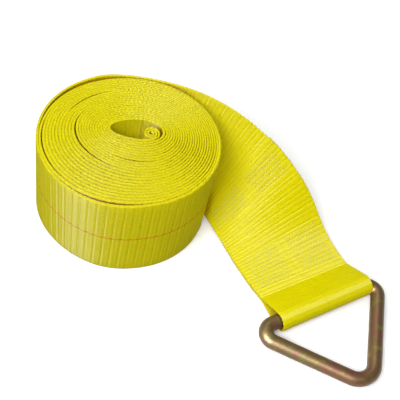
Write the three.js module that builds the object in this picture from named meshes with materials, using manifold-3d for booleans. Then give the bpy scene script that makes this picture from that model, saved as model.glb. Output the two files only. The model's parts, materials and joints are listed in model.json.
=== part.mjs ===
// Winch strap: 4 inch flat webbing rolled up on its edge, with its free end lying down
// and sewn round the straight bar of a bent steel delta ring.
// Millimetres, +Z up. The strap runs along Y to the ring, whose bar lies along X.
import * as THREE from "three";
import { mergeVertices } from "three/addons/utils/BufferGeometryUtils.js";
import Module from "manifold-3d";

// Webbing
const strapWidth = 101.6;
const strapThickness = 2.4;
// Where one stretch of webbing runs into another, it starts this far inside it on every side.
const joinInset = 0.15;

// Roll: a slightly oval outside, an eye-shaped core and the rings that show on its two ends
const rollRadius = 78.6;
const rollOvalness = 0.042;
const rollOvalTurn = THREE.MathUtils.degToRad(-14.6);
const coreMiddle = new THREE.Vector2(3, 6);
const coreHalfLength = 21;
const coreHalfWidth = 8;
const coreTurn = THREE.MathUtils.degToRad(-27);
const endRings = 12;
const ringGrooveWidth = 1.2;
const ringGrooveDepth = 0.9;
const rollSegments = 64;

// Outermost turn. It comes off the roll at the front, stands loose on the left and at the back,
// where its upper edge flares outwards, and runs on into the free length.
const looseGap = 1.6;
const looseFlare = 3;
const looseStart = THREE.MathUtils.degToRad(262);
const looseFull = THREE.MathUtils.degToRad(215);
const looseEnd = THREE.MathUtils.degToRad(90);
const looseSink = 0.8;
const looseSteps = 30;

// Free length: where it lies, and how far it swings out between the roll and the ring
const strapLeft = 70;
const flatStart = -128;
const lowerSwingAtRoll = 150;
const lowerSwingAtFlat = 158;
const upperSwingAtRoll = 48;
const upperSwingAtFlat = 85;
const flatEase = 0.1;
const tailSteps = 44;

// Sewn eye: the strap turns round the bar and runs back underneath itself
const barAxisY = -181.4;
const stitchEdgeY = -143;
const doubledLength = 143;
const stepLength = 14;
const barClearance = 0.3;
const eyeClearance = 0.9;
const eyeArcSteps = 20;

// Delta ring
const ringBar = 14;
const ringBase = 147;
const ringHeight = 92.5;
const ringCornerRadius = 10;
const ringApexRadius = 18;
const ringOffset = -3;
const ringApexOffset = 3;
const ringSides = 16;
const ringArcSteps = 9;

const wasm = await Module();
wasm.setup();

const webbingMaterial = new THREE.MeshStandardMaterial({ color: 0xd2c80a, roughness: 0.75, metalness: 0 });
const ringMaterial = new THREE.MeshStandardMaterial({ color: 0x8a6a2c, roughness: 0.35, metalness: 0.9 });

// A BufferGeometry becomes a solid for joining, and the joined solid becomes a geometry again.
function toSolid(geometry) {
  const bare = geometry.clone();
  bare.deleteAttribute("normal");
  bare.deleteAttribute("uv");
  const merged = mergeVertices(bare, 1e-4);
  const mesh = new wasm.Mesh({
    numProp: 3,
    vertProperties: new Float32Array(merged.attributes.position.array),
    triVerts: new Uint32Array(merged.index.array),
  });
  return new wasm.Manifold(mesh);
}

function toGeometry(solid) {
  const mesh = solid.getMesh();
  const geometry = new THREE.BufferGeometry();
  geometry.setAttribute("position", new THREE.BufferAttribute(new Float32Array(mesh.vertProperties), 3));
  geometry.setIndex(new THREE.BufferAttribute(new Uint32Array(mesh.triVerts), 1));
  geometry.computeVertexNormals();
  return geometry;
}

// Closed skin over rings of points. Each ring has as many points as the next,
// and the last ring joins the first where wrap is true, or both get a flat cap.
function skin(rings, wrap) {
  const count = rings[0].length;
  const positions = rings.flat().flatMap((point) => [point.x, point.y, point.z]);
  const index = [];
  const spans = wrap ? rings.length : rings.length - 1;
  for (let i = 0; i < spans; i += 1) {
    const here = i * count;
    const next = ((i + 1) % rings.length) * count;
    for (let j = 0; j < count; j += 1) {
      const k = (j + 1) % count;
      index.push(here + j, next + j, here + k);
      index.push(here + k, next + j, next + k);
    }
  }
  if (!wrap) {
    const last = (rings.length - 1) * count;
    for (let j = 1; j < count - 1; j += 1) {
      index.push(0, j, j + 1);
      index.push(last, last + j + 1, last + j);
    }
  }
  const geometry = new THREE.BufferGeometry();
  geometry.setAttribute("position", new THREE.Float32BufferAttribute(positions, 3));
  geometry.setIndex(index);
  return geometry;
}

// Outside of the packed turns at an angle round the roll.
function packedRadius(angle) {
  return rollRadius * (1 + rollOvalness * Math.cos(2 * (angle - rollOvalTurn)));
}

// Middle of the loose turn at an angle round the roll, for its lower or its upper edge.
function loosePoint(angle, height) {
  const free = 1 - THREE.MathUtils.smoothstep(angle, looseFull, looseStart);
  const flare = looseFlare * free * (height / strapWidth) * THREE.MathUtils.smoothstep(-angle, -looseFull, -looseEnd);
  const sunk = -strapThickness / 2 - looseSink;
  const clear = strapThickness / 2 + looseGap;
  const radius = packedRadius(angle) + THREE.MathUtils.lerp(sunk, clear, free) + flare;
  return new THREE.Vector3(radius * Math.cos(angle), radius * Math.sin(angle), height);
}

// A place on the roll's plan: share 0 is the core's edge, share 1 the outside of the packed turns.
function rollPoint(share, angle, height) {
  const outer = packedRadius(angle);
  const along = Math.cos(angle - coreTurn) * coreHalfLength;
  const across = Math.sin(angle - coreTurn) * coreHalfWidth;
  const coreX = coreMiddle.x + along * Math.cos(coreTurn) - across * Math.sin(coreTurn);
  const coreY = coreMiddle.y + along * Math.sin(coreTurn) + across * Math.cos(coreTurn);
  const x = THREE.MathUtils.lerp(coreX, outer * Math.cos(angle), share);
  const y = THREE.MathUtils.lerp(coreY, outer * Math.sin(angle), share);
  return new THREE.Vector3(x, y, height);
}

// Packed turns: one turned solid with its bore, and rings cut into both ends.
function packedTurns() {
  const pitch = (rollRadius - coreHalfLength) / endRings;
  const halfGroove = ringGrooveWidth / pitch / endRings / 2;
  const end = [[0, 0]];
  for (let ring = 1; ring < endRings; ring += 1) {
    const middle = ring / endRings;
    end.push([middle - halfGroove, 0], [middle, ringGrooveDepth], [middle + halfGroove, 0]);
  }
  end.push([1, 0]);
  const bottom = end.map(([share, depth]) => [share, depth]);
  const top = end.map(([share, depth]) => [share, strapWidth - depth]).reverse();
  const profile = [...bottom, ...top];
  const rings = [];
  for (let i = 0; i < rollSegments; i += 1) {
    const angle = (i / rollSegments) * 2 * Math.PI;
    rings.push(profile.map(([share, height]) => rollPoint(share, angle, height)));
  }
  return skin(rings, true);
}

// A band of webbing over stations. Each has its lower and upper edge, and how far
// the webbing reaches below and above the surface between them. The ground stops its corners.
function band(stations) {
  const rings = stations.map((station, i) => {
    const before = stations[Math.max(i - 1, 0)];
    const after = stations[Math.min(i + 1, stations.length - 1)];
    const across = station.high.clone().sub(station.low).normalize();
    const face = (edge) => after[edge].clone().sub(before[edge]).cross(across).normalize();
    const lowFace = face("low");
    const highFace = face("high");
    const section = [
      station.low.clone().addScaledVector(lowFace, station.over),
      station.high.clone().addScaledVector(highFace, station.over),
      station.high.clone().addScaledVector(highFace, -station.under),
      station.low.clone().addScaledVector(lowFace, -station.under),
    ];
    section.forEach((corner) => corner.setZ(Math.max(corner.z, 0)));
    return section;
  });
  return skin(rings, false);
}

// The loose turn, from where it comes off the packed turns round to the back.
function looseTurnStations() {
  const stations = [];
  for (let i = 0; i < looseSteps; i += 1) {
    const angle = THREE.MathUtils.lerp(looseStart, looseEnd, i / looseSteps);
    const inset = joinInset * THREE.MathUtils.smoothstep(angle, looseFull, looseStart);
    stations.push({
      low: loosePoint(angle, inset),
      high: loosePoint(angle, strapWidth - inset),
      under: strapThickness / 2,
      over: strapThickness / 2,
    });
  }
  return stations;
}

// Plan of one edge of the free length: it leaves the loose turn in its own direction
// and ends along the strap's line towards the ring.
function edgePlan(height, left, swingAtRoll, swingAtFlat) {
  const start = loosePoint(looseEnd, height);
  const before = loosePoint(looseEnd + 0.01, height);
  const leaving = start.clone().sub(before).setLength(swingAtRoll).add(start);
  return new THREE.CubicBezierCurve(
    new THREE.Vector2(start.x, start.y),
    new THREE.Vector2(leaving.x, leaving.y),
    new THREE.Vector2(left, flatStart + swingAtFlat),
    new THREE.Vector2(left, flatStart),
  );
}

// Free length from the back of the roll to where it lies flat. Its lower edge stays on the
// ground while the upper edge leans out and comes down.
function tailStations() {
  const lower = edgePlan(0, strapLeft, lowerSwingAtRoll, lowerSwingAtFlat);
  const upper = edgePlan(strapWidth, strapLeft + strapWidth, upperSwingAtRoll, upperSwingAtFlat);
  const doubledEnd = barAxisY + doubledLength;
  const stations = [];
  for (let i = 0; i <= tailSteps; i += 1) {
    const share = i / tailSteps;
    const foot = lower.getPointAt(share);
    const head = upper.getPointAt(share);
    const spread = Math.min(foot.distanceTo(head) / strapWidth, 1);
    const lift = Math.acos(spread) * THREE.MathUtils.smoothstep(1 - share, 0, flatEase);
    const outward = head.clone().sub(foot).setLength(strapWidth * Math.cos(lift));
    const doubled = THREE.MathUtils.smoothstep(doubledEnd + stepLength / 2 - foot.y, 0, stepLength);
    const under = strapThickness * (0.5 + doubled);
    const floor = under * Math.cos(lift);
    const height = strapWidth * Math.sin(lift);
    stations.push({
      low: new THREE.Vector3(foot.x, foot.y, floor),
      high: new THREE.Vector3(foot.x + outward.x, foot.y + outward.y, floor + height),
      under,
      over: strapThickness / 2,
    });
  }
  return stations;
}

// Arc round the bar, from where a straight run from (y, z) touches a circle down to its lowest point.
function eyeArc(radius, middleZ, y, z) {
  const across = y - barAxisY;
  const down = z - middleZ;
  const from = Math.atan2(down, across) + Math.acos(radius / Math.hypot(across, down));
  const points = [];
  for (let i = 0; i <= eyeArcSteps; i += 1) {
    const angle = THREE.MathUtils.lerp(from, 1.5 * Math.PI, i / eyeArcSteps);
    points.push(new THREE.Vector2(barAxisY + radius * Math.cos(angle), middleZ + radius * Math.sin(angle)));
  }
  return points;
}

// Sewn eye, seen from its side: two layers that part at the last stitches and pass round the bar.
function sewnEye() {
  const inner = ringBar / 2 + eyeClearance;
  const middleZ = strapThickness + inner;
  const start = flatStart + strapThickness;
  const full = flatStart - strapThickness;
  const top = 2 * strapThickness;
  const outline = new THREE.Shape([
    new THREE.Vector2(start, joinInset),
    new THREE.Vector2(start, top - joinInset),
    new THREE.Vector2(full, top),
    new THREE.Vector2(stitchEdgeY, top),
    ...eyeArc(inner + strapThickness, middleZ, stitchEdgeY, top),
  ]);
  const parting = stitchEdgeY - strapThickness;
  const hole = new THREE.Path([
    new THREE.Vector2(parting, strapThickness),
    ...eyeArc(inner, middleZ, parting, strapThickness),
  ]);
  outline.holes.push(hole);
  const width = strapWidth - 2 * joinInset;
  const geometry = new THREE.ExtrudeGeometry(outline, { depth: width, bevelEnabled: false });
  // The outline's own X is the strap's Y, its Y is up, and it is extruded along X.
  const turn = new THREE.Matrix4().makeBasis(
    new THREE.Vector3(0, 1, 0),
    new THREE.Vector3(0, 0, 1),
    new THREE.Vector3(1, 0, 0),
  );
  geometry.applyMatrix4(turn);
  geometry.translate(strapLeft + joinInset, 0, 0);
  return geometry;
}

function buildWebbing() {
  const strip = band([...looseTurnStations(), ...tailStations()]);
  const solid = toSolid(packedTurns()).add(toSolid(strip)).add(toSolid(sewnEye()));
  const mesh = new THREE.Mesh(toGeometry(solid), webbingMaterial);
  mesh.name = "webbing";
  return mesh;
}

// Round bar bent to a triangle with rounded corners, about the middle of its straight bar.
function ringCentreline() {
  const corners = [
    { at: new THREE.Vector2(-ringBase / 2, 0), radius: ringCornerRadius },
    { at: new THREE.Vector2(ringApexOffset, -ringHeight), radius: ringApexRadius },
    { at: new THREE.Vector2(ringBase / 2, 0), radius: ringCornerRadius },
  ];
  const points = [];
  corners.forEach((corner, i) => {
    const previous = corners[(i + 2) % 3].at;
    const next = corners[(i + 1) % 3].at;
    const back = previous.clone().sub(corner.at).normalize();
    const forth = next.clone().sub(corner.at).normalize();
    const half = Math.acos(back.dot(forth)) / 2;
    const middle = back.clone().add(forth).setLength(corner.radius / Math.sin(half)).add(corner.at);
    const start = back.clone().multiplyScalar(corner.radius / Math.tan(half)).add(corner.at).sub(middle);
    const sweep = Math.PI - 2 * half;
    for (let step = 0; step <= ringArcSteps; step += 1) {
      const angle = (step / ringArcSteps) * sweep;
      points.push(start.clone().rotateAround(new THREE.Vector2(), angle).add(middle));
    }
  });
  return points;
}

function buildRing() {
  const line = ringCentreline();
  const rings = line.map((point, i) => {
    const before = line[(i + line.length - 1) % line.length];
    const after = line[(i + 1) % line.length];
    const tangent = after.clone().sub(before).normalize();
    const side = new THREE.Vector3(tangent.y, -tangent.x, 0);
    const section = [];
    for (let j = 0; j < ringSides; j += 1) {
      const angle = ((j + 0.5) / ringSides) * 2 * Math.PI;
      const place = new THREE.Vector3(point.x, point.y, 0);
      place.addScaledVector(side, Math.cos(angle) * (ringBar / 2));
      place.z += Math.sin(angle) * (ringBar / 2);
      section.push(place);
    }
    return section;
  });
  const geometry = skin(rings, true);
  geometry.computeVertexNormals();
  const mesh = new THREE.Mesh(geometry, ringMaterial);
  mesh.name = "delta_ring";
  const barHeight = strapThickness + ringBar / 2 + barClearance;
  const apexReach = ringHeight - ringApexRadius * (1 / Math.sin(Math.atan2(ringBase / 2, ringHeight)) - 1);
  mesh.position.set(strapLeft + strapWidth / 2 + ringOffset, barAxisY, barHeight);
  mesh.rotation.x = Math.asin((barHeight - ringBar / 2) / apexReach);
  return mesh;
}

// The whole strap, with its origin under the middle of its box.
const parts = new THREE.Group();
parts.add(buildWebbing(), buildRing());
const box = new THREE.Box3().setFromObject(parts, true);
parts.position.set(-(box.min.x + box.max.x) / 2, -(box.min.y + box.max.y) / 2, -box.min.z);

const strap = new THREE.Group();
strap.add(parts);

export default strap;
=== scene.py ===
# Winch strap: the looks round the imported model. Metres, +Z up, in the model's own frame.
import json
import math

import bpy
import numpy as np
from mathutils import Matrix, Vector


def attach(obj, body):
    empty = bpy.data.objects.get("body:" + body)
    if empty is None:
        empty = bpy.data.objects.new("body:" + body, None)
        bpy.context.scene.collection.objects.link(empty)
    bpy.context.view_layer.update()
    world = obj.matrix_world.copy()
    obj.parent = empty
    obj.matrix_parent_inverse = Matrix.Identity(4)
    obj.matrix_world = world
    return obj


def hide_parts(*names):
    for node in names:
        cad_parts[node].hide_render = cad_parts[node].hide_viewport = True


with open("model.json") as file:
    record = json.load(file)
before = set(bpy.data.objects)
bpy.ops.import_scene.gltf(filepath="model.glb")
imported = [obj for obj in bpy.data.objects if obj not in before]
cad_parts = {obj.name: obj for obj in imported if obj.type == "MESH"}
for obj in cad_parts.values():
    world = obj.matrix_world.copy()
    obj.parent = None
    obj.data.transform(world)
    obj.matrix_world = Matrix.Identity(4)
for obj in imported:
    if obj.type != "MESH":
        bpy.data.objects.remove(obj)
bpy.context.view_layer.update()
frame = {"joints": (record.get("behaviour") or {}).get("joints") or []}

# Webbing
STRAP_WIDTH = 0.1016
STRAP_THICKNESS = 0.0024
WARP_PITCH = 0.0013
LOWEST = 0.0001

# Ribs across the webbing: every second one is low, and their height varies along it.
RIB_PITCH = 0.004
RIB_HEIGHT = 0.00060
RIB_HEIGHT_ODD = 0.00014
RIB_FULLNESS = 0.8
RIB_UNEVEN = 0.35
RIB_UNEVEN_OVER = 0.021

# Selvages: how round they are, how far each rib pushes them out, and the same for their corners
SELVAGE_ROUND = 0.0011
SELVAGE_BUMP = 0.0007
SELVAGE_BUMP_MIDDLE = 0.6
CORNER_IN = 0.35
CORNER_BUMP = 0.5
CORNER_LOWERED = 0.28
CORNER_HELD_BY_RIB = 0.18

# The texture's place across the webbing starts here on the under face, and at 0 on the over face.
UNDER_FACE_START = 0.2

# Roll: oval outside, wide eye inside, and the turns between them
ROLL_RADIUS = 0.0786
ROLL_OVALNESS = 0.042
ROLL_OVAL_TURN = math.radians(-14.6)
CORE_MIDDLE = (0.0076, 0.0081)
CORE_HALF_LENGTH = 0.0228
CORE_HALF_WIDTH = 0.0106
CORE_TURN = math.radians(-27)
CORE_EGG = 0.14
WOUND_TURNS = 24.08
WOUND_TRAVEL = WOUND_TURNS * 2 * math.pi
WOUND_POINTS = 26000
WOUND_STEP = 0.00105
OUTER_STAND = 0.3
THICKEST_TURN = 0.0033
TURN_FACE_POINTS = 2

# The turns are pressed together on the right in front, and their edges are rounder there.
PRESSED_BY = 0.08
PRESSED_MIDDLE = math.radians(-38)
PRESSED_HALF_WIDTH = math.radians(60)
EDGE_ROUNDING = 0.15
EDGE_ROUNDING_MIDDLE = math.radians(-45)
EDGE_ROUNDING_HALF_WIDTH = math.radians(55)

# The turns stand a little unevenly on the ground: the middle height, the change either way, and
# over what length it comes and goes.
TURN_RISE = 0.0004
TURN_RISE_CHANGE = 0.0003
TURN_RISE_OVER = 0.17

# Curled inner end
CURL_TURNS = 2.5
CURL_TRAVEL = CURL_TURNS * 2 * math.pi
CURL_LEAD_IN = 0.5
CURL_RADIUS = 0.0071
CURL_INNER_RADIUS = 0.0013
CURL_THICKNESS = STRAP_THICKNESS * 0.95
CURL_POINTS = 700

# Outermost turn: it comes free between the first two angles, and leaves the roll at the third. Its
# upper edge leans out more and more on the way.
LOOSE_START = math.radians(262)
LOOSE_FULL = math.radians(215)
LOOSE_END = math.radians(85.4)
LOOSE_GAP = 0.0016
LOOSE_FLARE = 0.0025
LOOSE_POINTS = 1400

# The finer mesh starts this far before the outermost turn comes free. It is as thick as a packed
# turn up to the first length, and as thin as free webbing from the second.
FINE_TURN = math.radians(190)
FINE_STEP = 0.00067
FINE_FACE_POINTS = 9
SNUG_UNTIL = 0.26
SNUG_GONE = 0.45

# The turns just inside the loose one stand out to meet it on the left. The shares are those of the
# wound turns, from where it begins to where it is full.
OUTER_PACK = 0.0036
OUTER_PACK_MIDDLE = math.radians(165)
OUTER_PACK_HALF_WIDTH = math.radians(95)
OUTER_PACK_FROM = 0.40
OUTER_PACK_FULL = 0.97

# The roll's foot draws in on its left.
FOOT_IN = 0.056
FOOT_IN_MIDDLE = math.radians(204)
FOOT_IN_HALF_WIDTH = math.radians(72)

# Gaps between turns on the roll's top: the angle of the middle, the half width, how wide the gap
# opens, and the share of the wound turns that lie inside it
GAPS = (
    (math.radians(108), math.radians(36), 0.0010, 0.735),
    (math.radians(180), math.radians(72), 0.0014, 0.545),
    (math.radians(-121), math.radians(46), 0.0010, 0.425),
    (math.radians(170), math.radians(45), 0.0009, 0.95),
    (math.radians(-28), math.radians(36), 0.0006, 0.06),
)
GAP_EACH_WAY = 0.6

# The second gap lies further in on its near side than evenly spaced turns would put it.
SHIFTED_SHARE = GAPS[1][3]
SHIFT_MIDDLE = math.radians(205)
SHIFT_HALF_WIDTH = math.radians(75)
SHIFT_INWARDS = 0.0048

# Free length: where its two edges end up lying flat, how far each edge holds its direction at both
# ends, and how much it slants in at the flat end
LOWER_EDGE_END = 0.0738
UPPER_EDGE_END = 0.1709
FLAT_START = -0.1517
LOWER_SWING_AT_ROLL = 0.0940
LOWER_SWING_AT_FLAT = 0.1004
LOWER_SLANT = 0.0154
UPPER_SWING_AT_ROLL = 0.0399
UPPER_SWING_AT_FLAT = 0.1286
UPPER_SLANT = -0.0100
FLAT_EASE = 0.3
TAIL_POINTS = 500

# Sewn eye and the doubled end behind it
BAR_MIDDLE_X = 0.1178
BAR_AXIS_Y = -0.1814
STITCH_EDGE_Y = FLAT_START
DOUBLED_END_Y = BAR_AXIS_Y + 0.143
DOUBLED_EASE = 0.014
LAYER_GAP = 0.0001
EYE_CLEARANCE = 0.0010
EYE_ARC_POINTS = 90
EYE_BACK_POINTS = 40

# The webbing widens a little over the bar, between these two places.
WIDER_FROM_Y = -0.155
WIDER_FULL_Y = -0.180
EYE_LEFT_SHIFT = -0.0009
EYE_RIGHT_SHIFT = 0.0011

# The ribs are pulled nearly flat where the webbing is drawn round the bar.
EYE_RIBS_LOST = 0.6
EYE_RIBS_EASE = 0.004

# Stitching: each patch starts this far behind the eye and has this many rows; each row has two
# blocks, given by where they start and end across the webbing
STITCH_PATCHES = ((0.0110, 8), (0.0860, 5))
STITCH_BLOCKS = ((0.0060, 0.0450), (0.0560, 0.0950))
ROW_PITCH = 0.0044
ZIGZAG_PITCH = 0.0036
ZIGZAG_POINTS = 12
ZIGZAG_REACH = 0.0021
THREAD_RADIUS = 0.00033
THREAD_SIDES = 6
THREAD_LOWEST = 0.00005

# The thread stands out of the webbing between two turns of the zigzag and dips into it at each
# turn, both in thread radii.
THREAD_OUT = 0.3
THREAD_DIP = 1.3
THREAD_DIP_SHARPNESS = 6

# Colour: the tracer's half width without and with its soft edge, how much of a repeat is dash, and
# how far apart two faces are when painted shade starts to darken them
TRACER_HALF_WIDTH = 0.0006
TRACER_SOFT_HALF_WIDTH = 0.0009
TRACER_DASH_SHARE = 0.60
CREVICE_SHADE_REACH = 0.014

# Ring
RING_BAR = 0.014
RING_BASE = 0.147
RING_HEIGHT = 0.0925
RING_CORNER_RADIUS = 0.010
RING_APEX_RADIUS = 0.018
RING_APEX_OFFSET = 0.003
RING_SIDES = 40
RING_ARC_STEPS = 28
RING_SIDE_STEPS = 30

# Floor
FLOOR_SIZE = 6.0
FLOOR_DROP = 0.0004

# Light: each lamp's name, place, width, watts, and whether it does more than make highlights
SKY_STRENGTH = 0.32
LAMPS = (
    ("key", (-0.84, -0.32, 1.2), 0.6, 14.0, True),
    ("front", (-0.6, -0.75, 1.2), 0.6, 5.5, True),
    ("back", (0.3, 0.9, 1.5), 0.8, 7.5, True),
    ("gloss", (-1.10, -0.19, 0.9), 0.5, 112.0, False),
)

# Camera, from the photograph's viewing angle
CAMERA_PLACE = (-0.34057, -0.35239, 0.7190)
CAMERA_AZIMUTH = math.radians(-41)
CAMERA_ELEVATION = math.radians(52.20)
CAMERA_ROLL = math.radians(15.63)
CAMERA_LENS = 80.36
CAMERA_SENSOR = 36.0
CAMERA_NEAR = 0.05

# The model's origin lies under the middle of its box. The shapes here are worked out about the
# roll's middle, and the hinge in the record says where the ring's bar is in the model.
hinge = Vector(frame["joints"][0]["pos_m"])
ROLL_PLACE = Vector((hinge.x - BAR_MIDDLE_X, hinge.y - BAR_AXIS_Y, 0.0))


def smoothstep(value, low, high):
    """0 at low and below, 1 at high and above, with a soft start and end."""
    t = np.clip((value - low) / (high - low), 0, 1)
    return t * t * (3 - 2 * t)


def lerp(a, b, t):
    return a + (b - a) * t


def lengths_along(points):
    """How far along its path each point lies."""
    steps = np.linalg.norm(np.diff(points, axis=0), axis=1)
    return np.concatenate([[0], np.cumsum(steps)])


def evenly(points, step):
    """Places in a path's list of points, in whole numbers and parts, at even steps along it."""
    run = lengths_along(points)
    count = max(2, int(round(run[-1] / step)) + 1)
    wanted = np.linspace(0, run[-1], count)
    return np.interp(wanted, run, np.arange(len(points)))


def bump_round(angle, middle, half_width):
    """1 at the middle angle, falling softly to 0 at half a width to either side."""
    away = np.abs((angle - middle + math.pi) % (2 * math.pi) - math.pi)
    return np.cos(np.clip(away / half_width, 0, 1) * math.pi / 2) ** 2


def packed_radius(angle):
    """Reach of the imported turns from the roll's middle."""
    return ROLL_RADIUS * (1 + ROLL_OVALNESS * np.cos(2 * (angle - ROLL_OVAL_TURN)))


def core_edge(angle):
    """Edge of the eye-shaped hollow in the core, in plan."""
    along = np.cos(angle - CORE_TURN) * CORE_HALF_LENGTH
    egg = 1 + CORE_EGG * np.cos(angle - CORE_TURN)
    across = np.sin(angle - CORE_TURN) * CORE_HALF_WIDTH * egg
    x = CORE_MIDDLE[0] + along * math.cos(CORE_TURN) - across * math.sin(CORE_TURN)
    y = CORE_MIDDLE[1] + along * math.sin(CORE_TURN) + across * math.cos(CORE_TURN)
    return np.stack([x, y], -1)


def wound_path(travel):
    """Middle of the webbing in plan, at an angle travelled from the core's edge outwards."""
    angle = LOOSE_START + WOUND_TRAVEL - travel
    share = travel / WOUND_TRAVEL
    inner = core_edge(angle)
    radius = packed_radius(angle)
    outer = np.stack([radius * np.cos(angle), radius * np.sin(angle)], -1)
    line = outer - inner
    reach = np.linalg.norm(line, axis=-1)
    pitch = reach / WOUND_TURNS
    place = STRAP_THICKNESS / 2 + (reach - STRAP_THICKNESS + OUTER_STAND * pitch) * share
    hat = np.minimum(share / SHIFTED_SHARE, (1 - share) / (1 - SHIFTED_SHARE))
    place -= SHIFT_INWARDS * hat * bump_round(angle, SHIFT_MIDDLE, SHIFT_HALF_WIDTH)
    stands_out = bump_round(angle, OUTER_PACK_MIDDLE, OUTER_PACK_HALF_WIDTH)
    place += OUTER_PACK * (smoothstep(share, OUTER_PACK_FROM, OUTER_PACK_FULL) * stands_out)
    for middle, half_width, opening, at_share in GAPS:
        turns_in = round((at_share * WOUND_TRAVEL - (LOOSE_START - middle)) / (2 * math.pi))
        passed = travel > (LOOSE_START - middle) % (2 * math.pi) + 2 * math.pi * turns_in - math.pi
        outside = np.where(passed, (1 - share) / (1 - at_share), -share / at_share)
        push = np.clip(outside, -1, 1)
        place += opening * bump_round(angle, middle, half_width) * push * GAP_EACH_WAY
    return inner + line / reach[..., None] * place[..., None]


def loose_radius(angle, height):
    """Reach of the loose turn at a height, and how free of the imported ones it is, from 0 to 1."""
    free = 1 - smoothstep(angle, LOOSE_FULL, LOOSE_START)
    leaving = smoothstep(-angle, -LOOSE_FULL, -LOOSE_END)
    flare = LOOSE_FLARE * free * (height / STRAP_WIDTH) * leaving
    return packed_radius(angle) + STRAP_THICKNESS / 2 + LOOSE_GAP + flare, free


def outer_turn_path(angle, height):
    """The outermost wound turn and the loose one after it, in plan, at an angle and a height."""
    wound = wound_path(LOOSE_START + WOUND_TRAVEL - angle)
    radius, free = loose_radius(angle, height)
    loose = np.stack([radius * np.cos(angle), radius * np.sin(angle)], -1)
    return lerp(wound, loose, free[..., None])


def foot_plan(plan):
    """Where the foot of the webbing stands under its upper edge, in plan."""
    angle = np.arctan2(plan[:, 1], plan[:, 0])
    reach = np.linalg.norm(plan, axis=1) / ROLL_RADIUS
    drawn_in = FOOT_IN * bump_round(angle, FOOT_IN_MIDDLE, FOOT_IN_HALF_WIDTH) * reach ** 2
    return plan * (1 - drawn_in)[:, None]


def cubic(p0, p1, p2, p3, t):
    """Points of a curve from p0 to p3 that sets out towards p1 and comes in from p2."""
    t = t[:, None]
    return p0 * (1 - t) ** 3 + 3 * p1 * t * (1 - t) ** 2 + 3 * p2 * t * t * (1 - t) + p3 * t ** 3


def edge_plan(height, end_x, swing_at_roll, swing_at_flat, slant):
    """One edge of the free length in plan, evenly spaced, from the roll to where it lies flat."""
    ends = outer_turn_path(np.array([LOOSE_END, LOOSE_END + 0.01]), height)
    leaving = ends[0] - ends[1]
    leaving = ends[0] + leaving / np.linalg.norm(leaving) * swing_at_roll
    t = np.linspace(0, 1, TAIL_POINTS)
    flat = np.array([end_x, FLAT_START])
    line = cubic(ends[0], leaving, flat + [-slant, swing_at_flat], flat, t)
    at = evenly(line, lengths_along(line)[-1] / (TAIL_POINTS - 1))
    return np.stack([np.interp(at, np.arange(len(line)), line[:, k]) for k in (0, 1)], -1)


def tail_stations():
    """Lower and upper edge of the free length, from the back of the roll to where it lies flat."""
    foot = edge_plan(
        0.0, LOWER_EDGE_END, LOWER_SWING_AT_ROLL, LOWER_SWING_AT_FLAT, LOWER_SLANT
    )
    head = edge_plan(
        STRAP_WIDTH, UPPER_EDGE_END, UPPER_SWING_AT_ROLL, UPPER_SWING_AT_FLAT, UPPER_SLANT
    )
    share = np.linspace(0, 1, len(foot))
    apart = np.linalg.norm(head - foot, axis=1)
    lift = np.arccos(np.clip(apart / STRAP_WIDTH, 0, 1)) * smoothstep(1 - share, 0, FLAT_EASE)
    outward = (head - foot) / apart[:, None]
    doubled = smoothstep(DOUBLED_END_Y + DOUBLED_EASE / 2 - foot[:, 1], 0, DOUBLED_EASE)
    floor = STRAP_THICKNESS * (0.5 + doubled) * np.cos(lift)
    low = np.column_stack([foot, floor])
    reach = outward * (STRAP_WIDTH * np.cos(lift))[:, None]
    high = np.column_stack([foot + reach, floor + STRAP_WIDTH * np.sin(lift)])
    return low, high


def eye_profile():
    """Side view (Y, Z) of the webbing's middle from the last stitches, round the bar and back."""
    inner = RING_BAR / 2 + EYE_CLEARANCE
    radius = inner + STRAP_THICKNESS / 2
    middle_z = STRAP_THICKNESS + inner
    top = 1.5 * STRAP_THICKNESS
    across = STITCH_EDGE_Y - BAR_AXIS_Y
    down = top - middle_z
    start = math.atan2(down, across) + math.acos(radius / math.hypot(across, down))
    angles = np.linspace(start, 1.5 * math.pi, EYE_ARC_POINTS)
    arc = np.stack([BAR_AXIS_Y + radius * np.cos(angles), middle_z + radius * np.sin(angles)], -1)
    edge = np.array([[STITCH_EDGE_Y, top]])
    back_y = np.linspace(BAR_AXIS_Y, STITCH_EDGE_Y, EYE_BACK_POINTS)
    back = np.stack([back_y, np.full(EYE_BACK_POINTS, STRAP_THICKNESS / 2)], -1)
    return np.concatenate([edge, arc, back[1:]])


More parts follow.
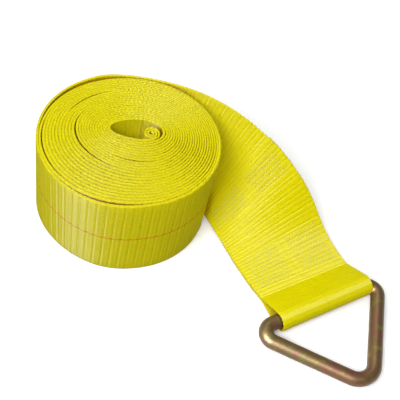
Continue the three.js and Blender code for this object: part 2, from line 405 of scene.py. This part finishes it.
def strap_path():
    """Lower and upper edge of the finer piece: outer turn, loose turn, tail, eye, doubled end."""
    angles = np.linspace(LOOSE_START + FINE_TURN, LOOSE_END, LOOSE_POINTS)[:-1]
    low_plan = outer_turn_path(angles, 0.0)
    high_plan = outer_turn_path(angles, STRAP_WIDTH)
    low = [np.column_stack([foot_plan(low_plan), np.zeros(len(angles))])]
    high = [np.column_stack([high_plan, np.full(len(angles), STRAP_WIDTH)])]
    whole_low, whole_high = tail_stations()
    lying = whole_low[:, 1] > STITCH_EDGE_Y
    tail_low, tail_high = whole_low[lying], whole_high[lying]
    low.append(tail_low)
    high.append(tail_high)
    side = eye_profile()
    wider = smoothstep(-side[:, 0], -WIDER_FROM_Y, -WIDER_FULL_Y)
    left = np.interp(-side[:, 0], -whole_low[:, 1], whole_low[:, 0]) + EYE_LEFT_SHIFT * wider
    right = np.interp(-side[:, 0], -whole_high[:, 1], whole_high[:, 0]) + EYE_RIGHT_SHIFT * wider
    low.append(np.column_stack([left, side]))
    high.append(np.column_stack([right, side]))
    is_doubled = tail_low[:, 1] < DOUBLED_END_Y
    back_low, back_high = tail_low[is_doubled], tail_high[is_doubled]
    along = np.gradient(back_low + back_high, axis=0)
    normal = np.cross(along, back_high - back_low)
    normal /= np.linalg.norm(normal, axis=1)[:, None]
    under = normal * (STRAP_THICKNESS + LAYER_GAP)
    low.append((back_low - under)[::-1][1:])
    high.append((back_high - under)[::-1][1:])
    return np.concatenate(low), np.concatenate(high)


def noise_line(at, seed, scale):
    """Smooth, repeatable ups and downs from -1 to 1 along a line."""
    phases = np.random.default_rng(seed).uniform(0, 2 * math.pi, 5)
    waves = []
    for k, phase in enumerate(phases):
        turns = 2 * math.pi * (0.7 + 0.53 * k)
        waves.append(np.sin(at / scale * turns + phase) / (1 + 0.5 * k))
    return np.sum(waves, axis=0) / 2.6


def new_piece(name, verts, faces):
    mesh = bpy.data.meshes.new(name)
    mesh.from_pydata(verts, [], faces)
    mesh.shade_smooth()
    obj = bpy.data.objects.new(name, mesh)
    bpy.context.scene.collection.objects.link(obj)
    return obj


def strip_mesh(name, low, high, along, thick, face_points, rounding, relief):
    """Closed mesh of webbing over its two edges: two ribbed faces and two bumpy selvages. The
    selvages are square at a rounding of 0 and fully round at 1. Relief scales the ribs' height."""
    count = len(low)
    across = high - low
    width = np.linalg.norm(across, axis=1)
    across /= width[:, None]
    tangent_low = np.gradient(low, axis=0)
    tangent_high = np.gradient(high, axis=0)
    half = thick / 2
    rib_number = np.floor(along / RIB_PITCH)
    height = np.where(rib_number % 2 == 0, RIB_HEIGHT, RIB_HEIGHT_ODD)
    height = height * (1 + RIB_UNEVEN * noise_line(along, 3, RIB_UNEVEN_OVER)) * relief
    rib = np.abs(np.sin(math.pi * along / RIB_PITCH)) ** RIB_FULLNESS
    other = np.abs(np.cos(math.pi * along / RIB_PITCH)) ** RIB_FULLNESS
    shares = np.linspace(0, 1, face_points)
    # Each point of the section: the side it is on, with the share across a face, or on a selvage
    # -1 for the corner under, 0 for the middle and 1 for the corner over.
    section = [("under", s) for s in shares]
    section += [("high", -1), ("high", 0), ("high", 1)]
    section += [("over", s) for s in shares[::-1]]
    section += [("low", 1), ("low", 0), ("low", -1)]
    rings = np.zeros((count, len(section), 3))
    uv = np.zeros((count, len(section), 2))
    for j, (kind, value) in enumerate(section):
        if kind in ("under", "over"):
            at = SELVAGE_ROUND + (width - 2 * SELVAGE_ROUND) * value
            lift = half - height + height * (other if kind == "under" else rib)
            lift = lift * (-1 if kind == "under" else 1)
        else:
            held = CORNER_HELD_BY_RIB * (other if value < 0 else rib)
            inset = SELVAGE_ROUND * (CORNER_IN if value else 0) * rounding
            bump = SELVAGE_BUMP * (rib - SELVAGE_BUMP_MIDDLE) * (CORNER_BUMP if value else 1)
            at = inset - bump if kind == "low" else width - (inset - bump)
            lift = value * half * (1 - rounding * (CORNER_LOWERED - held))
        part = (at / width)[:, None]
        tangent = lerp(tangent_low, tangent_high, part)
        normal = np.cross(tangent, across)
        normal /= np.linalg.norm(normal, axis=1)[:, None]
        rings[:, j] = low + across * at[:, None] + normal * np.broadcast_to(lift, count)[:, None]
        uv[:, j, 0] = along
        is_under = kind == "under" or value == -1
        uv[:, j, 1] = at + (UNDER_FACE_START if is_under else 0)
    rings[:, :, 2] = np.maximum(rings[:, :, 2], LOWEST)
    k = len(section)
    verts = rings.reshape(-1, 3) + np.array(ROLL_PLACE)
    i, j = np.meshgrid(np.arange(count - 1), np.arange(k), indexing="ij")
    a = i * k + j
    b = i * k + (j + 1) % k
    quads = np.stack([a, b, b + k, a + k], -1).reshape(-1, 4)
    caps = [list(range(k))[::-1], list(range((count - 1) * k, count * k))]
    obj = new_piece(name, verts.tolist(), quads.tolist() + caps)
    layer = obj.data.uv_layers.new(name="Strap")
    loops = np.zeros(len(obj.data.loops), np.int32)
    obj.data.loops.foreach_get("vertex_index", loops)
    layer.data.foreach_set("uv", uv.reshape(-1, 2)[loops].astype(np.float32).ravel())
    return obj


def turns_path():
    """The wound turns inside the outermost one in plan, with the curled inner end before them, and
    the room that each place has for the webbing's thickness."""
    travel = np.linspace(0, WOUND_TRAVEL - FINE_TURN, WOUND_POINTS)
    wound = wound_path(travel)
    first = wound[1] - wound[0]
    first /= np.linalg.norm(first)
    inward = np.array([first[1], -first[0]])
    if np.dot(inward, np.array(CORE_MIDDLE) - wound[0]) < 0:
        inward = -inward
    curl_middle = wound[0] + inward * CURL_RADIUS
    start = math.atan2(-inward[1], -inward[0])
    back = np.linspace(CURL_TRAVEL, 0, CURL_POINTS)[:-1]
    wound_in = np.clip((back - CURL_LEAD_IN) / (CURL_TRAVEL - CURL_LEAD_IN), 0, 1)
    radius = lerp(CURL_RADIUS, CURL_INNER_RADIUS, wound_in)
    turned = start + back
    curl = curl_middle + np.stack([radius * np.cos(turned), radius * np.sin(turned)], -1)
    plan = np.concatenate([curl, wound])
    room = np.full(len(plan), CURL_THICKNESS)
    onward = np.gradient(wound, axis=0)
    outward = np.stack([onward[:, 1], -onward[:, 0]], -1)
    outward /= np.linalg.norm(outward, axis=1)[:, None]
    to_next = wound_path(travel + 2 * math.pi) - wound
    to_last = wound_path(np.maximum(travel - 2 * math.pi, 0)) - wound
    ahead = np.abs(np.sum(to_next * outward, axis=1))
    behind = np.abs(np.sum(to_last * outward, axis=1))
    behind = np.where(travel < 2 * math.pi, ahead, behind)
    room[len(curl):] = np.minimum(ahead, behind)
    return plan, room


def build_turns():
    """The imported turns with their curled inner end, and how much webbing they take."""
    plan, room = turns_path()
    at = evenly(plan, WOUND_STEP)
    order = np.arange(len(plan))
    x, y, room = (np.interp(at, order, values) for values in (plan[:, 0], plan[:, 1], room))
    line = np.stack([x, y], -1)
    along = lengths_along(line)
    rise = TURN_RISE + TURN_RISE_CHANGE * noise_line(along, 5, TURN_RISE_OVER)
    low = np.column_stack([foot_plan(line), rise])
    high = np.column_stack([line, rise + STRAP_WIDTH])
    angle = np.arctan2(y, x)
    pressed = 1 - PRESSED_BY * bump_round(angle, PRESSED_MIDDLE, PRESSED_HALF_WIDTH)
    thick = np.minimum(room * pressed, THICKEST_TURN)
    rounder = bump_round(angle, EDGE_ROUNDING_MIDDLE, EDGE_ROUNDING_HALF_WIDTH)
    rounding = EDGE_ROUNDING + (1 - EDGE_ROUNDING) * rounder
    obj = strip_mesh(
        "webbing_turns", low, high, along, thick, TURN_FACE_POINTS, rounding, relief=1.0
    )
    return obj, along[-1]


def build_free_length(start):
    """The rest of the webbing, from a length along it on, and the length at its sewn end."""
    low, high = strap_path()
    at = evenly((low + high) / 2, FINE_STEP)
    order = np.arange(len(low))
    low, high = (
        np.stack([np.interp(at, order, edge[:, k]) for k in range(3)], -1) for edge in (low, high)
    )
    along = start + lengths_along((low + high) / 2)
    snug = 1 - smoothstep(along - start, SNUG_UNTIL, SNUG_GONE)
    thick = lerp(STRAP_THICKNESS, THICKEST_TURN, snug)
    past_stitches = STITCH_EDGE_Y - low[:, 1]
    relief = 1 - EYE_RIBS_LOST * smoothstep(past_stitches, -EYE_RIBS_EASE, EYE_RIBS_EASE)
    obj = strip_mesh(
        "webbing_free_length", low, high, along, thick, FINE_FACE_POINTS, 1.0, relief
    )
    return obj, along[-1]


def thread_mesh(name, lines):
    """Joined mesh of thin round threads, one along each line of points."""
    verts = []
    faces = []
    k = THREAD_SIDES
    turn = np.linspace(0, 2 * math.pi, k, endpoint=False)
    for line, normal in lines:
        tangent = np.gradient(line, axis=0)
        tangent /= np.linalg.norm(tangent, axis=1)[:, None]
        side = np.cross(tangent, normal)
        side /= np.linalg.norm(side, axis=1)[:, None]
        sideways = side[:, None] * np.cos(turn)[None, :, None]
        upwards = normal[:, None] * np.sin(turn)[None, :, None]
        rings = line[:, None] + (sideways + upwards) * THREAD_RADIUS
        rings[:, :, 2] = np.maximum(rings[:, :, 2], THREAD_LOWEST)
        first = len(verts)
        verts += (rings.reshape(-1, 3) + np.array(ROLL_PLACE)).tolist()
        for i in range(len(line) - 1):
            for j in range(k):
                a = first + i * k + j
                b = first + i * k + (j + 1) % k
                faces.append((a, b, b + k, a + k))
        faces.append(tuple(range(first, first + k))[::-1])
        faces.append(tuple(range(len(verts) - k, len(verts))))
    return new_piece(name, verts, faces)


def build_stitches():
    """Rows of zigzag across the doubled webbing, above and below, in two blocks a patch."""
    low, high = tail_stations()
    run = lengths_along(low)
    start = np.interp(-STITCH_EDGE_Y, -low[:, 1], run)
    across = high - low
    across /= np.linalg.norm(across, axis=1)[:, None]
    normal = np.cross(np.gradient(low + high, axis=0), across)
    normal /= np.linalg.norm(normal, axis=1)[:, None]

    def on_strap(distance, values):
        return np.stack([np.interp(distance, run, values[:, n]) for n in range(3)], -1)

    lines = []
    for patch_start, rows in STITCH_PATCHES:
        for row in range(rows):
            for block_low, block_high in STITCH_BLOCKS:
                v = np.arange(block_low, block_high, ZIGZAG_PITCH / ZIGZAG_POINTS)
                cycle = (v - block_low) / ZIGZAG_PITCH
                sway = (1 - 4 * np.abs(cycle % 1 - 0.5)) * ZIGZAG_REACH
                distance = start - patch_start - row * ROW_PITCH + sway
                edge = on_strap(distance, low)
                out = on_strap(distance, across)
                up = on_strap(distance, normal)
                dipping = np.abs(sway / ZIGZAG_REACH) ** THREAD_DIP_SHARPNESS
                stand = THREAD_RADIUS * (THREAD_OUT - THREAD_DIP * dipping)
                top = STRAP_THICKNESS / 2 - RIB_HEIGHT / 2 + stand
                under = 1.5 * STRAP_THICKNESS + LAYER_GAP - RIB_HEIGHT / 2 + stand
                on_face = edge + out * v[:, None]
                lines.append((on_face + up * top[:, None], up))
                lines.append((on_face - up * under[:, None], -up))
    return thread_mesh("stitching", lines)


def ring_centreline():
    """Middle of the round bar: a triangle with rounded corners, the bar in the eye along X at 0."""
    corners = (
        ((-RING_BASE / 2, 0.0), RING_CORNER_RADIUS),
        ((RING_APEX_OFFSET, -RING_HEIGHT), RING_APEX_RADIUS),
        ((RING_BASE / 2, 0.0), RING_CORNER_RADIUS),
    )
    arcs = []
    for i, (corner, radius) in enumerate(corners):
        at = np.array(corner)
        back = np.array(corners[i - 1][0]) - at
        forth = np.array(corners[(i + 1) % 3][0]) - at
        back /= np.linalg.norm(back)
        forth /= np.linalg.norm(forth)
        half = math.acos(float(back @ forth)) / 2
        middle = at + (back + forth) / np.linalg.norm(back + forth) * radius / math.sin(half)
        start = at + back * radius / math.tan(half) - middle
        sweep = np.linspace(0, math.pi - 2 * half, RING_ARC_STEPS)
        turned = np.stack([
            start[0] * np.cos(sweep) - start[1] * np.sin(sweep),
            start[0] * np.sin(sweep) + start[1] * np.cos(sweep),
        ], -1)
        arcs.append(middle + turned)
    line = []
    for i, arc in enumerate(arcs):
        line.append(arc)
        following = arcs[(i + 1) % 3][0]
        share = np.linspace(0, 1, RING_SIDE_STEPS + 1)[1:-1, None]
        line.append(lerp(arc[-1], following, share))
    return np.concatenate(line)


def build_ring():
    line = ring_centreline()
    tangent = np.roll(line, -1, axis=0) - np.roll(line, 1, axis=0)
    tangent /= np.linalg.norm(tangent, axis=1)[:, None]
    side = np.stack([tangent[:, 1], -tangent[:, 0]], -1)
    turn = np.linspace(0, 2 * math.pi, RING_SIDES, endpoint=False)
    out = np.cos(turn)[None, :, None] * side[:, None, :] * RING_BAR / 2
    plan = line[:, None, :] + out
    up = np.broadcast_to(np.sin(turn)[None, :] * RING_BAR / 2, plan.shape[:2])
    points = np.concatenate([plan, up[..., None]], -1)
    # The ring leans down from the eye until its apex lies on the ground.
    half_apex = math.atan2(RING_BASE / 2, RING_HEIGHT)
    apex_reach = RING_HEIGHT - RING_APEX_RADIUS * (1 / math.sin(half_apex) - 1)
    tilt = Matrix.Rotation(math.asin((hinge.z - RING_BAR / 2) / apex_reach), 3, "X")
    verts = points.reshape(-1, 3) @ np.array(tilt).T + np.array(hinge)
    count, k = plan.shape[:2]
    i, j = np.meshgrid(np.arange(count), np.arange(k), indexing="ij")
    here = i * k
    following = ((i + 1) % count) * k
    following_j = (j + 1) % k
    quads = np.stack([here + j, following + j, following + following_j, here + following_j], -1)
    return new_piece("ring_bar", verts.tolist(), quads.reshape(-1, 4).tolist())


def srgb(r, g, b):
    """Colour given in the usual steps from 0 to 255."""
    def channel(value):
        value /= 255
        return value / 12.92 if value <= 0.04045 else ((value + 0.055) / 1.055) ** 2.4
    return (channel(r), channel(g), channel(b), 1.0)


class Nodes:
    """Short words for building a material's node tree."""

    def __init__(self, name):
        self.material = bpy.data.materials.new(name)
        self.material.use_nodes = True
        self.tree = self.material.node_tree
        self.shader = self.tree.nodes["Principled BSDF"]

    def add(self, kind, inputs=(), **settings):
        node = self.tree.nodes.new("ShaderNode" + kind)
        for key, value in settings.items():
            setattr(node, key, value)
        for key, value in dict(inputs).items():
            self.put(node.inputs[key], value)
        return node

    def put(self, socket, value):
        if isinstance(value, bpy.types.NodeSocket):
            self.tree.links.new(value, socket)
        else:
            socket.default_value = value

    def math(self, operation, a, b=0.0, c=0.0):
        return self.add("Math", {0: a, 1: b, 2: c}, operation=operation).outputs[0]

    def mix(self, share, a, b):
        """Colour a at a share of 0, colour b at 1."""
        node = self.add("Mix", {0: share, 6: a, 7: b}, data_type="RGBA")
        return node.outputs[2]

    def noise(self, scale, detail, distortion=0.0):
        """Cloudy value fixed to the piece, mostly between 0.3 and 0.7."""
        place = self.add("TexCoord").outputs["Object"]
        inputs = {"Vector": place, "Scale": scale, "Detail": detail, "Distortion": distortion}
        return self.add("TexNoise", inputs).outputs[0]

    def between(self, value, low, high):
        """0 at low and beyond it, 1 at high and beyond it; low may be the larger."""
        node = self.add("MapRange", {"Value": value, "From Min": low, "From Max": high})
        return node.outputs[0]


def webbing_material():
    m = Nodes("webbing_yellow")
    uv = m.add("UVMap", uv_map="Strap").outputs[0]
    parts = m.add("SeparateXYZ", {0: uv})
    along, across = parts.outputs[0], parts.outputs[1]
    broad = m.noise(9.0, 3.0)
    fine = m.noise(700.0, 2.0)
    base = m.mix(m.between(broad, 0.35, 0.65), srgb(207, 196, 0), srgb(217, 206, 0))
    base = m.mix(m.between(fine, 0.3, 0.75), base, srgb(226, 216, 2))
    # Painted shade in the groove between two ribs: the colour is a little deeper there.
    wave = m.math("ABSOLUTE", m.math("SINE", m.math("MULTIPLY", along, math.pi / RIB_PITCH)))
    groove_shade = m.math("MULTIPLY", m.between(wave, 0.45, 0.0), 0.22)
    base = m.mix(groove_shade, base, srgb(190, 168, 0))
    # Tracer thread on the under face, which is the roll's outside: dashes, two ribs to a repeat.
    middle = m.math("ABSOLUTE", m.math("SUBTRACT", across, UNDER_FACE_START + STRAP_WIDTH / 2))
    on_line = m.between(middle, TRACER_SOFT_HALF_WIDTH, TRACER_HALF_WIDTH)
    cycle = m.math("FRACT", m.math("DIVIDE", along, 2 * RIB_PITCH))
    dash_end = m.between(cycle, TRACER_DASH_SHARE + 0.08, TRACER_DASH_SHARE)
    dash = m.math("MULTIPLY", m.between(cycle, 0.02, 0.08), dash_end)
    strong = m.math("MULTIPLY", m.math("MULTIPLY", on_line, dash), 0.9)
    base = m.mix(strong, base, srgb(210, 66, 8))
    faint = m.math("MULTIPLY", on_line, 0.6)
    base = m.mix(faint, base, srgb(222, 132, 0))
    # Over face: only a faint darker line where the tracer is behind.
    inner = m.math("ABSOLUTE", m.math("SUBTRACT", across, STRAP_WIDTH / 2))
    behind = m.math("MULTIPLY", m.between(inner, 0.0012, 0.0004), 0.12)
    base = m.mix(behind, base, srgb(182, 160, 0))
    # Yellow light thrown from face to face turns orange where the webbing closes in.
    # Painted shade with painted bounce light: where the webbing closes in, the colour turns a
    # deeper orange, as yellow light thrown from face to face would make it.
    open_air = m.add("AmbientOcclusion", {"Distance": CREVICE_SHADE_REACH}, samples=8).outputs["AO"]
    base = m.mix(m.between(open_air, 0.55, 0.08), base, srgb(168, 108, 0))
    m.put(m.shader.inputs["Base Color"], base)
    # Warp cords run along the webbing, and they dip at each rib.
    cord = m.math("ABSOLUTE", m.math("SINE", m.math("MULTIPLY", across, math.pi / WARP_PITCH)))
    height = m.math("ADD", m.math("MULTIPLY", cord, 0.6), m.math("MULTIPLY", fine, 0.8))
    bump = m.add("Bump", {"Height": height, "Distance": 0.00018, "Strength": 0.8})
    m.put(m.shader.inputs["Normal"], bump.outputs[0])
    m.put(m.shader.inputs["Roughness"], m.math("MULTIPLY_ADD", fine, 0.2, 0.54))
    m.shader.inputs["Specular IOR Level"].default_value = 0.14
    # The fibres run along the webbing, so a highlight spreads out across it.
    m.shader.inputs["Anisotropic"].default_value = 1.0
    m.shader.inputs["Anisotropic Rotation"].default_value = 0.25
    tangent = m.add("Tangent", direction_type="UV_MAP", uv_map="Strap")
    m.put(m.shader.inputs["Tangent"], tangent.outputs[0])
    return m.material


def thread_material():
    m = Nodes("sewing_thread")
    fine = m.noise(900.0, 2.0)
    base = m.mix(fine, srgb(190, 180, 40), srgb(212, 202, 104))
    m.put(m.shader.inputs["Base Color"], base)
    m.shader.inputs["Roughness"].default_value = 0.6
    m.shader.inputs["Specular IOR Level"].default_value = 0.15
    return m.material


def chromate_material():
    m = Nodes("yellow_chromate")
    broad = m.noise(26.0, 3.0, 0.6)
    tint = m.noise(75.0, 4.0, 1.4)
    fine = m.noise(900.0, 2.0)
    base = m.mix(m.between(broad, 0.35, 0.65), srgb(106, 70, 34), srgb(88, 76, 26))
    # The plating shimmers reddish in some places and olive in others.
    base = m.mix(m.between(tint, 0.52, 0.66), base, srgb(108, 56, 42))
    base = m.mix(m.between(tint, 0.45, 0.33), base, srgb(116, 96, 34))
    m.put(m.shader.inputs["Base Color"], base)
    m.shader.inputs["Metallic"].default_value = 0.55
    m.put(m.shader.inputs["Roughness"], m.math("MULTIPLY_ADD", broad, 0.2, 0.36))
    m.shader.inputs["Coat Weight"].default_value = 0.4
    m.shader.inputs["Coat Roughness"].default_value = 0.4
    bump = m.add("Bump", {"Height": fine, "Distance": 0.0003, "Strength": 0.7})
    m.put(m.shader.inputs["Normal"], bump.outputs[0])
    return m.material


def floor_material():
    m = Nodes("pale_floor")
    m.shader.inputs["Base Color"].default_value = (0.93, 0.93, 0.93, 1.0)
    m.shader.inputs["Roughness"].default_value = 0.9
    m.shader.inputs["Emission Color"].default_value = (1.0, 1.0, 1.0, 1.0)
    m.shader.inputs["Emission Strength"].default_value = 0.16
    return m.material


def stage_and_light():
    bpy.ops.mesh.primitive_plane_add(size=FLOOR_SIZE, location=(0, 0, -FLOOR_DROP))
    floor = bpy.context.object
    floor.name = "floor"
    floor.data.materials.append(floor_material())
    floor.visible_diffuse = False
    world = bpy.data.worlds.new("studio")
    bpy.context.scene.world = world
    world.use_nodes = True
    sky = world.node_tree.nodes["Background"]
    sky.inputs["Color"].default_value = (1.0, 1.0, 1.0, 1.0)
    sky.inputs["Strength"].default_value = SKY_STRENGTH
    for name, place, size, watts, also_diffuse in LAMPS:
        lamp = bpy.data.lights.new(name, "AREA")
        lamp.shape = "SQUARE"
        lamp.size = size
        lamp.energy = watts
        obj = bpy.data.objects.new(name, lamp)
        obj.location = place
        obj.visible_diffuse = also_diffuse
        obj.rotation_euler = (-Vector(place)).to_track_quat("-Z", "Y").to_euler()
        bpy.context.scene.collection.objects.link(obj)


def place_camera():
    camera = bpy.data.objects.new("camera", bpy.data.cameras.new("camera"))
    camera.data.sensor_width = CAMERA_SENSOR
    camera.data.lens = CAMERA_LENS
    camera.data.clip_start = CAMERA_NEAR
    a = CAMERA_AZIMUTH
    e = CAMERA_ELEVATION
    forward = Vector((-math.sin(a) * math.cos(e), math.cos(a) * math.cos(e), -math.sin(e)))
    level = Vector((math.cos(a), math.sin(a), 0.0))
    upright = level.cross(forward)
    right = level * math.cos(CAMERA_ROLL) + upright * math.sin(CAMERA_ROLL)
    up = upright * math.cos(CAMERA_ROLL) - level * math.sin(CAMERA_ROLL)
    turn = Matrix((right, up, -forward)).transposed()
    camera.matrix_world = Matrix.Translation(CAMERA_PLACE) @ turn.to_4x4()
    bpy.context.scene.collection.objects.link(camera)
    bpy.context.scene.camera = camera


bpy.context.scene.view_settings.view_transform = "Standard"
place_camera()

turns, wound_length = build_turns()
free_length, strap_length = build_free_length(wound_length)
webbing = webbing_material()
for piece, length in ((turns, wound_length), (free_length, strap_length - wound_length)):
    piece.data.materials.append(webbing)
    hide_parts("webbing")
    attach(piece, "strap")

stitching = build_stitches()
stitching.data.materials.append(thread_material())
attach(stitching, "strap")

ring = build_ring()
ring.data.materials.append(chromate_material())
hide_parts("delta_ring")
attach(ring, "ring")

stage_and_light()

print("length of webbing", round(strap_length, 3), "m, wound", round(wound_length, 3))
